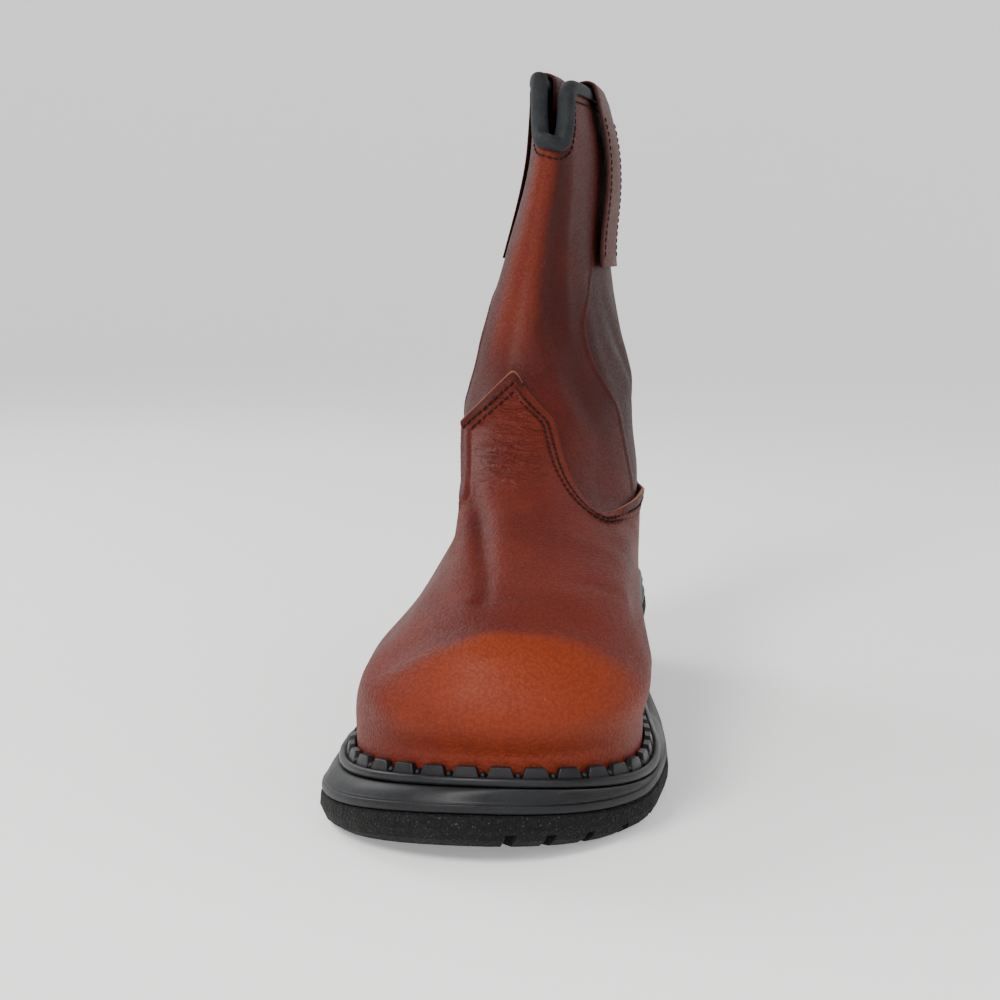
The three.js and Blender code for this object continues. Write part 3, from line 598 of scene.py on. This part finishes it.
def along_edge(t, inward):
    """Places and levels of a line a distance inside the overlay's edge, for t from -1 to 1."""
    level = overlay_level(t)
    edge = upper_point(t, level)
    run = np.gradient(edge, axis=0)
    kernel = np.hanning(15)
    run = np.stack([np.convolve(np.pad(run[:, k], 7, "wrap"), kernel / kernel.sum(), "valid") for k in range(3)], -1)
    into = -np.cross(upper_normal(t, level), unit(run)) * inward
    a, b = jacobian(t, level)
    aa, ab, bb = (a * a).sum(-1), (a * b).sum(-1), (b * b).sum(-1)
    ai, bi = (a * into).sum(-1), (b * into).sum(-1)
    det = aa * bb - ab * ab
    return t + (bb * ai - ab * bi) / det, level + (aa * bi - ab * ai) / det


def edge_distance(points):
    """Distance in mm of points from the overlay's edge."""
    t = np.linspace(-1, 1, 2400)
    line = upper_point(t, overlay_level(t))
    tree = KDTree(len(line))
    for i, p in enumerate(line):
        tree.insert(p, i)
    tree.balance()
    flat = points.reshape(-1, 3)
    found = np.array([tree.find(p)[2] for p in flat.tolist()])
    return found.reshape(points.shape[:-1])


def make_vamp():
    count = 420
    around = places(count)
    edge = overlay_level(around)
    edge_z = overlay_height(around)
    near = np.array([0.0, 0.25, 0.6, 1.0, 1.5, 2.0, 2.5, 3.0, 3.5, 4.0, 4.5, 5.0, 5.6, 6.3, 7.1, 8.0, 9.0, 10.2, 11.6])
    body = np.linspace(0, 1, 150)
    # levels of rows: body rows up to 12 mm below the edge, then rows set by their height below it
    slope = np.linalg.norm(upper_point(around, edge) - upper_point(around, edge - 0.1), axis=-1) / 0.1
    joint = edge - 13.0 / slope
    rows = [joint * t for t in body] + [edge - d / slope for d in near[::-1]]
    level = np.array(rows)
    ar = np.broadcast_to(around, level.shape)
    base = upper_point(ar, level)
    normal = upper_normal(ar, level)
    below = (edge - level) * slope
    close = below < 30
    first = int(np.argmax(close.any(1)))
    below[first:] = np.minimum(edge_distance(base[first:]), below[first:])
    troughs, shade = creases(VAMP_CREASES, ar, level, base)
    off = OVERLAY_STEP + troughs * smooth(below / 6.0)
    crest = column(TOE_LINE, 1, ar)
    past = (level - crest) * np.linalg.norm(jacobian(ar, level)[1], axis=-1)
    front = 1 - smooth((np.abs(ar - 0.01) - 0.10) / 0.16)
    off += front * (0.7 * np.exp(-((past + 4.5) / 6.5) ** 2) - 1.2 * np.exp(-((past - 8.5) / 9.0) ** 2))
    off += bulge(base, (-30, -150, 82), (16, 34, 22), 1.5)
    off += bulge(base, (-47, -205, 44), (14, 26, 12), 0.8)
    curl = flare(ar)
    off += curl * (1 - smooth(below / 9.0)) ** 1.6
    off -= 0.35 * np.exp(-((below - 3.0) / 0.55) ** 2) + 0.35 * np.exp(-((below - 5.4) / 0.55) ** 2)
    off += 0.3 * np.exp(-((below - 4.2) / 0.8) ** 2)
    outer = base + normal * off[..., None]
    # the cut edge: turned over the top and back under, down to the shaft
    lip_off = off[-1]
    top = upper_point(around, edge + 0.5 / slope) + normal[-1] * (lip_off - 0.35)[:, None]
    mid = upper_point(around, edge + 0.6 / slope) + normal[-1] * (lip_off - 0.95)[:, None]
    under = upper_point(around, edge + 0.2 / slope) + normal[-1] * (lip_off - 1.5)[:, None]
    back = upper_point(around, edge - 9.0 / slope) + upper_normal(around, edge - 9.0 / slope) * 0.05
    loops = np.concatenate([outer, [top, mid, under, back]])
    # Toe mask along the cap's crest: the real burnished toe, partly a painted highlight on the face turned to the
    # lamps. Painted shade fades it low down by the welt, and it also fades towards the outer side.
    haze = 9 + 26 * smooth((np.abs(ar - 0.03) - 0.05) / 0.20)
    toe = (1 - smooth((past + 0.6 * haze) / haze)) * (0.50 + 0.50 * smooth((base[..., 2] - 26) / 48))
    toe *= 1 - 0.45 * smooth((12 - base[..., 0]) / 62)
    flex = np.exp(-(((ar - 0.005) / 0.12) ** 4)) * smooth((level - 5.9) / 0.5) * smooth(below / 6.0)
    # Painted shade: darker in the crease troughs, and a painted shadow under the outward-curled lip.
    dark = np.clip(shade * 0.55, 0, 0.6) + 0.75 * (curl > 0.05) * smooth(curl / 2.0) * (1 - smooth((below - 1.0) / 5.0))
    # Painted sheen on the outer shoulder of the vamp, from 58 mm up to below the instep.
    bloom = 0.9 * smooth((-(base[..., 0]) - 20) / 22) * smooth((base[..., 2] - 58) / 14) * (1 - smooth((level - 6.0) / 1.0))
    flush = 1 - smooth(curl / 1.0)
    # Painted shade: a thin dark line right at the edge where it lies flush.
    dark += 0.35 * flush * (1 - smooth(below / 1.2))
    pad = lambda v, end: np.concatenate([v, np.full((4, count), end)])
    layers = {"toe": pad(toe, 0), "flex": pad(flex, 0), "dark": pad(dark, 0.0), "bloom": pad(bloom, 0.0)}
    layers["rim"] = np.zeros((len(loops), count))
    layers["rim"][len(rows) - 2:len(rows) + 3] = 0.15 + 0.75 * smooth(curl[-1] / 1.2)
    obj = band("upper_vamp", loops, layers)
    return finish_piece(obj, ["upper"], VAMP_LEATHER)


def stitch_row(name, around_of, place_of, gap, size=(1.25, 0.48, 0.44), lean=0.0):
    """Stitches at an even pitch along a line over the leather; place_of gives points and normals."""
    t = np.linspace(0, 1, 1600)
    around = around_of(t)
    points, normals = place_of(around)
    length = np.concatenate([[0], np.cumsum(np.linalg.norm(np.diff(points, axis=0), axis=1))])
    at = np.arange(gap / 2, length[-1], gap)
    centre = np.stack([np.interp(at, length, points[:, k]) for k in range(3)], -1)
    ahead = np.stack([np.interp(at + 0.3, length, points[:, k]) for k in range(3)], -1)
    behind = np.stack([np.interp(at - 0.3, length, points[:, k]) for k in range(3)], -1)
    normal = unit(np.stack([np.interp(at, length, normals[:, k]) for k in range(3)], -1))
    run = unit(ahead - behind)
    side = np.cross(normal, run)
    run = unit(run + side * lean)
    side = unit(np.cross(normal, run))
    scale = 1 + 0.08 * rng.standard_normal(len(at))
    axes = np.stack([run * size[0] * scale[:, None], side * size[1], normal * size[2]], 1)
    shape, faces = pill()
    return scatter(name, centre, axes, shape, faces)


def make_vamp_stitches():
    pieces = []
    for row, below in enumerate((3.0, 5.4)):
        def place(t, below=below):
            around, level = along_edge(t, below)
            curl = flare(t) * (1 - smooth(below / 9.0)) ** 1.6
            normal = upper_normal(around, level)
            return upper_point(around, level) + normal * (OVERLAY_STEP + curl - 0.05)[:, None], normal
        obj = stitch_row(f"vamp_stitches_{row + 1}", lambda t: -1 + 2 * t, place, 2.9, lean=0.12)
        pieces.append(finish_piece(obj, material=THREAD))
    return pieces


def seam_away(around, height):
    """Distance past the side seam towards the back, as a share of the way round."""
    return np.abs(around) - column(SEAM_LINE, 1, np.clip(height, SEAM_LINE[0, 0], SEAM_LINE[-1, 0]))


def make_shaft():
    count = 420
    around = places(count)
    low = overlay_level(around)
    slope = np.linalg.norm(upper_point(around, low) - upper_point(around, low - 0.1), axis=-1) / 0.1
    start, top = low - 10.0 / slope, collar_level(around)
    t = np.linspace(0, 1, 170)[:, None]
    level = start + (top - start) * t
    ar = np.broadcast_to(around, level.shape)
    base = upper_point(ar, level)
    normal = upper_normal(ar, level)
    to_edge = (top - level) * 30
    troughs, shade = creases(SHAFT_CREASES, ar, level, base)
    hold = smooth((to_edge - 6) / 25) * smooth((level - low) * slope / 12.0)
    off = troughs * hold
    fade = 1 - smooth((t - 0.72) / 0.1)
    past = seam_away(ar, base[..., 2])
    off = off + (0.45 * np.exp(-(past / 0.006) ** 2) - 0.25 * np.exp(-((past + 0.011) / 0.005) ** 2)) * fade
    outer = base + normal * off[..., None]
    rim = [off_upper(around, top, np.full(count, v)) for v in (-0.8, -1.6, -WALL)]
    inner_t = np.linspace(1, 0, 90)[:, None]
    inner_level = top * inner_t
    inner = off_upper(np.broadcast_to(around, inner_level.shape), inner_level, np.full(inner_level.shape, -WALL))
    loops = np.concatenate([outer, rim[:2], inner])
    rows = len(loops)
    front = np.exp(-(((ar + 0.05) / 0.13) ** 4))
    layers = {k: np.zeros((rows, count)) for k in ("toe", "flex", "dark", "bloom")}
    n = len(outer)
    # Painted highlight: a brighter orange strip down the front of the shaft, where it faces the key lamp.
    layers["toe"][:n] = 0.85 * front * smooth((level - 7.6) / 1.0)
    # Painted shade: darker in the crease troughs, and darker on the back quarter behind the side seam.
    layers["dark"][:n] = np.clip(shade * 0.5, 0, 0.5) + 0.62 * fade * smooth((past + 0.01) / 0.05)
    # Painted sheen high on the inner side of the shaft, standing in for a reflection of a lamp.
    medial = smooth((ar - 0.10) / 0.08) * (1 - smooth((ar - 0.42) / 0.12))
    layers["bloom"][:n] = 0.75 * medial * smooth((level - 8.9) / 1.3)
    # Painted shadow on the shaft just below the vamp's edge.
    contact = np.exp(-np.clip((level - low) * slope, 0, None) / 2.2)
    layers["dark"][:n] += 0.5 * contact
    layers["dark"][n:] = 0.3
    obj = band("upper_shaft", loops, layers)
    obj.data.materials.append(SHAFT_LEATHER)
    obj.data.materials.append(LINING)
    index = np.zeros(len(obj.data.polygons), int)
    index[(n + 1) * count:] = 1
    obj.data.polygons.foreach_set("material_index", index)
    return finish_piece(obj, ["upper"])


# Collar tape and pull straps
def make_binding():
    count = 420
    around = places(count)
    outer, inner, thick = GAP + CURVE_GAP, -WALL - GAP - CURVE_GAP, BINDING_THICK
    mid, reach = (outer + inner) / 2, (outer - inner) / 2 + thick
    fold = [(outer, -BINDING_DOWN), (outer + 0.5, -BINDING_DOWN - 0.25), (outer + thick - 0.4, -BINDING_DOWN),
            (outer + thick, -BINDING_DOWN + 0.8), (outer + thick + 0.2, -2.2), (outer + thick + 0.2, -1.2)]
    for a in np.linspace(0, math.pi, 13):
        fold.append((mid + (reach + 0.1) * math.cos(a), -0.4 + 2.4 * math.sin(a)))
    fold += [(inner - thick - 0.2, -1.2), (inner - thick - 0.2, -2.2), (inner - thick, -BINDING_DOWN + 0.8),
             (inner - thick + 0.4, -BINDING_DOWN), (inner - 0.5, -BINDING_DOWN - 0.25), (inner, -BINDING_DOWN)]
    loops = [off_collar(around, off, up) for off, up in fold]
    obj = band("collar_binding_tape", loops)
    return finish_piece(obj, ["collar_binding"], TAPE)


def strap_route(billow):
    clear = BINDING_THICK + 2 * GAP + 2 * CURVE_GAP
    flat = GAP + 4 * CURVE_GAP
    neck = BINDING_DOWN + 5
    route = []
    for share in np.linspace(0, 1, 27)[:-1]:
        slack = billow * math.sin(math.pi * share) ** 2
        route.append((lerp(flat, clear, smooth(share)) + slack, lerp(-74, -neck, share)))
    route += [(clear, -neck), (clear + 0.2, -neck / 2), (clear, -1.0)]
    centre, radius = (clear - WALL - clear) / 2, (2 * clear + WALL) / 2
    for a in np.linspace(0.12, math.pi - 0.12, 13):
        route.append((centre + radius * math.cos(a), GAP + 2.4 * math.sin(a)))
    route += [(-WALL - clear, -1.0), (-WALL - clear - 0.2, -neck / 2), (-WALL - clear, -neck)]
    for share in np.linspace(0, 1, 14)[1:]:
        route.append((lerp(-WALL - clear, -WALL - flat, smooth(share * 2)), lerp(-neck, -44, share)))
    return np.array(route)


def make_strap(side, name, billow):
    route = strap_route(billow)
    run = unit(np.gradient(route, axis=0))
    out = np.stack([run[:, 1], -run[:, 0]], -1)
    spots = side * np.linspace(STRAP_FROM, STRAP_TO, 15)
    width = np.linspace(-1, 1, 15)
    edge_round = np.sqrt(np.clip(1 - np.abs(width) ** 8, 0.0, 1))
    far, near = [], []
    for i, (row, o) in enumerate(zip(route, out)):
        thick = 1.9 * (0.25 + 0.75 * edge_round)
        mid = row + o * 1.0
        far.append(off_collar(spots, mid[0] + o[0] * thick / 2, mid[1] + o[1] * thick / 2))
        near.append(off_collar(spots, mid[0] - o[0] * thick / 2, mid[1] - o[1] * thick / 2)[::-1])
    loops = np.concatenate([np.array(far), np.array(near)], 1)
    if side < 0:
        loops = loops[:, ::-1]
    rows, count = loops.shape[:2]
    faces = grid_faces(rows, count)
    faces += [list(range(count))[::-1], list(range((rows - 1) * count, rows * count))]
    across = np.concatenate([width, width[::-1]])
    if side < 0:
        across = across[::-1]
    # Painted shade along both edges of the strap.
    dark = np.broadcast_to(0.9 * smooth((np.abs(across) - 0.86) / 0.12), (rows, count))
    # Painted sheen across the middle of the strap's face.
    bloom = np.broadcast_to(0.75 * (1 - smooth((np.abs(across) - 0.8) / 0.15)), (rows, count))
    layers = {"toe": np.zeros((rows, count)), "flex": np.zeros((rows, count)), "dark": dark, "bloom": bloom}
    obj = mesh_object(name, loops.reshape(-1, 3), faces, layers)
    finish_piece(obj, [name], SHAFT_LEATHER)
    obj.name = name + "_band"
    return obj


# Sole pieces in fine loops
WELT_INNER = OVERLAY_STEP + 0.5
RIB_OUTER = WELT_INNER + RIB_WIDTH
WELT_OUTER = RIB_OUTER + RIB_LEDGE


def make_midsole():
    count = 720
    low, high = sole_plan(count), grow(feather_plan(count), WELT_OUTER + 0.6)
    wall = [(0, -3.0, 0.0), (0, -1.5, 0.0), (0, -0.9, 0.25), (0, -0.65, 0.8), (0, -0.75, 1.8), (0, -0.95, 2.6),
            (0, -1.05, 2.9), (0, -1.45, 3.05), (0, -1.6, 3.25), (0, -1.55, 3.5), (0.02, -1.75, 3.8),
            (0.08, -1.7, 4.3), (0.25, -1.4, 5.5), (0.5, -0.8, 6.7), (0.72, -0.3, 7.5), (0.86, -0.05, 8.0),
            (0.95, 0, 8.3), (1, 0, 8.45), (1, -0.8, 8.5), (1, -6, 8.5)]
    loops = []
    for share, out, up in wall:
        plan = grow(lerp(low, high, share), out)
        loops.append(raised(plan, lambda y, up=up: outsole_top(y) + GAP + up))
    obj = band("midsole_wall", loops)
    return finish_piece(obj, ["midsole"], GREY_SOLE)


def make_welt():
    count = 720
    fine = feather_plan(count)
    floor = lambda y: midsole_top(y) + GAP
    section = [(WELT_INNER, 0.0), (WELT_OUTER - 0.4, 0.0), (WELT_OUTER, 0.3), (WELT_OUTER + 0.2, 0.9),
               (WELT_OUTER + 0.25, 1.6), (WELT_OUTER, 2.4), (WELT_OUTER - 0.5, 2.95), (WELT_OUTER - 1.2, 3.15),
               (WELT_OUTER - 1.9, 2.9), (WELT_OUTER - 2.3, 2.6), (RIB_OUTER - 0.4, 2.5), (WELT_INNER, 2.5)]
    loops = [raised(grow(fine, off), lambda y, up=up: floor(y) + up) for off, up in section]
    obj = band("welt_bead", loops, ring_rows=True)
    return finish_piece(obj, ["welt"], RIB_RUBBER)


def make_rib():
    """Trapezoid teeth round the forefoot, a plain rib behind the breast, and a nub in every gap."""
    fine = grow(feather_plan(1440), WELT_INNER)
    edge, total = even(fine, 2880)
    teeth = int(round(total / RIB_PITCH))
    run = unit(np.roll(edge, -1, 0) - np.roll(edge, 1, 0))
    out = np.stack([run[:, 1], -run[:, 0]], -1)
    index = lambda s: int(round(s / total * len(edge))) % len(edge)
    points, faces = [], []
    nub_centre, nub_axes = [], []
    base = 2.4

    def at(s, off, up):
        i = index(s)
        x, y = edge[i] + out[i] * off
        return (x, y, midsole_top(y) + GAP + up)

    for k in range(teeth):
        middle = (k + 0.5) * total / teeth
        notched = edge[index(middle)][1] < BREAST_Y
        half_low = 0.40 * RIB_PITCH if notched else 0.5 * RIB_PITCH
        half_high = 0.27 * RIB_PITCH if notched else 0.5 * RIB_PITCH
        rise = RIB_RISE + 1.0 if notched else RIB_RISE * 0.75
        section = [(0.0, 0.0, half_low), (RIB_WIDTH + 0.1, 0.0, half_low), (RIB_WIDTH - 0.9, rise, half_high),
                   (0.15, rise + 0.25, half_high)]
        first = len(points)
        steps = 7
        for t in np.linspace(-1, 1, steps):
            for off, up, half in section:
                points.append(at(middle + t * half, off, base + up))
        for i in range(steps - 1):
            for j in range(4):
                a, b = first + i * 4 + j, first + i * 4 + (j + 1) % 4
                faces.append((a, b, b + 4, a + 4))
        faces.append(tuple(first + j for j in (3, 2, 1, 0)))
        faces.append(tuple(first + (steps - 1) * 4 + j for j in range(4)))
        if notched:
            i = index(middle + total / teeth / 2)
            x, y, z = at(middle + total / teeth / 2, RIB_WIDTH * 0.45, base + 1.1)
            nub_centre.append((x, y, z))
            along, away = (*run[i], 0), (*out[i], 0)
            nub_axes.append((np.array((0, 0, 1.45)), np.array(along) * 0.95, np.array(away) * 1.75))
    obj = mesh_object("welt_rib_teeth", points, faces)
    bevel = obj.modifiers.new("soft edges", "BEVEL")
    bevel.width, bevel.segments, bevel.limit_method, bevel.angle_limit = 0.28 * MM, 2, "ANGLE", math.radians(35)
    finish_piece(obj, ["welt"], RIB_RUBBER, angle=35)
    shape, pill_faces = pill(7, 10)
    nubs = scatter("welt_rib_nubs", np.array(nub_centre), np.array(nub_axes), shape, pill_faces)
    finish_piece(nubs, ["welt"], RIB_RUBBER)


make_vamp()
make_shaft()
make_vamp_stitches()
make_binding()
make_strap(1, "pull_strap_medial", 1.0)
make_strap(-1, "pull_strap_lateral", 0.5)
make_midsole()
make_welt()
make_rib()


def collar_stitches():
    def place(around):
        points = off_collar(around, 0.15, -BINDING_DOWN - 3.0)
        level = level_at(around, points[:, 2])
        return points, upper_normal(around, level)
    obj = stitch_row("collar_stitches", lambda t: -0.99 + 1.98 * t, place, 2.9)
    finish_piece(obj, material=THREAD)


collar_stitches()


def strap_stitches():
    for side, name, billow in ((1, "medial", 1.0), (-1, "lateral", 0.5)):
        route = strap_route(billow)
        rows = [i for i, r in enumerate(route[:27]) if r[1] > -70 and r[1] < -12]
        for share in (0.12, 0.88):
            spot = side * lerp(STRAP_FROM, STRAP_TO, share)
            def place(t, spot=spot):
                up = lerp(-70, -12, (t - t.min()) / (t.max() - t.min()))
                off = np.interp(up, route[:27, 1], route[:27, 0]) + 1.95
                points = off_collar(np.full(t.shape, spot), off, up)
                return points, upper_normal(np.full(t.shape, spot), level_at(np.full(t.shape, spot), points[:, 2]))
            obj = stitch_row(f"strap_stitches_{name}_{int(share * 100)}", lambda t: t, place, 3.0)
            finish_piece(obj, material=THREAD)


strap_stitches()

for node, material in (("outsole", BLACK_SOLE), ("heel_block", BLACK_SOLE), ("insole", BOARD)):
    obj = bpy.data.objects.get(node)
    if obj is None:
        obj = next(o for o in bpy.data.objects if o.name.startswith(node))
    obj.data.materials.clear()
    obj.data.materials.append(material)

# Studio
FLOOR_RADIUS, SWEEP_RADIUS, WALL_TOP, FLOOR_SIDES = 2.2, 1.4, 4.0, 96


def studio():
    """A round pale floor that curves up into a wall all round, and soft lamps."""
    turn = np.linspace(0, math.pi / 2, 17)
    radius = np.concatenate([[0.01], FLOOR_RADIUS + SWEEP_RADIUS * np.sin(turn), [FLOOR_RADIUS + SWEEP_RADIUS]])
    height = np.concatenate([[0.0], SWEEP_RADIUS * (1 - np.cos(turn)), [WALL_TOP]]) - 0.0002
    round_ = np.arange(FLOOR_SIDES) * 2 * math.pi / FLOOR_SIDES
    corners = [(r * math.cos(a), r * math.sin(a), z) for r, z in zip(radius, height) for a in round_]
    floor = bpy.data.meshes.new("floor")
    faces = grid_faces(len(radius), FLOOR_SIDES) + [list(range(FLOOR_SIDES))]
    floor.from_pydata(corners, [], faces)
    floor.polygons.foreach_set("use_smooth", [True] * len(floor.polygons))
    ground = bpy.data.objects.new("floor", floor)
    bpy.context.scene.collection.objects.link(ground)
    n = Nodes("pale floor")
    n.set(Base_Color=(0.86, 0.86, 0.86, 1), Roughness=0.9, Specular_IOR_Level=0.1,
          Emission_Color=(1, 1, 1, 1), Emission_Strength=0.30)
    floor.materials.append(n.material)
    world = bpy.data.worlds.new("studio")
    bpy.context.scene.world = world
    world.use_nodes = True
    background = world.node_tree.nodes["Background"]
    background.inputs["Color"].default_value = (1.0, 1.0, 1.0, 1)
    background.inputs["Strength"].default_value = 0.42

    def lamp(name, place, target, size, power, colour=(1, 1, 1)):
        data = bpy.data.lights.new(name, "AREA")
        data.shape, data.size, data.energy, data.color = "DISK", size, power, colour
        obj = bpy.data.objects.new(name, data)
        bpy.context.scene.collection.objects.link(obj)
        obj.location = place
        obj.rotation_euler = (Vector(target) - Vector(place)).to_track_quat("-Z", "Y").to_euler()

    lamp("key", (-0.50, -1.30, 1.10), (0, -0.12, 0.08), 0.55, 27, (1.0, 0.97, 0.93))
    lamp("fill", (0.75, -1.3, 0.95), (0, -0.12, 0.1), 0.7, 5, (1.0, 0.98, 0.96))
    lamp("rim", (-0.95, 0.5, 1.0), (0, -0.1, 0.1), 0.8, 9, (1.0, 1.0, 1.0))


CAMERA = {"x": 0.056431, "y": -0.80291, "z": 0.194224, "focal_px": 1766.6, "pitch": 8.07, "yaw": 5.8}


def make_camera():
    data = bpy.data.cameras.new("camera")
    data.sensor_width, data.sensor_fit = 36.0, "HORIZONTAL"
    data.lens = CAMERA["focal_px"] / 1000 * 36.0
    data.clip_start, data.clip_end = 0.01, 60
    obj = bpy.data.objects.new("camera", data)
    bpy.context.scene.collection.objects.link(obj)
    obj.location = (CAMERA["x"], CAMERA["y"], CAMERA["z"])
    obj.rotation_euler = (math.radians(90 - CAMERA["pitch"]), 0, math.radians(CAMERA["yaw"]))
    bpy.context.scene.camera = obj


studio()
make_camera()
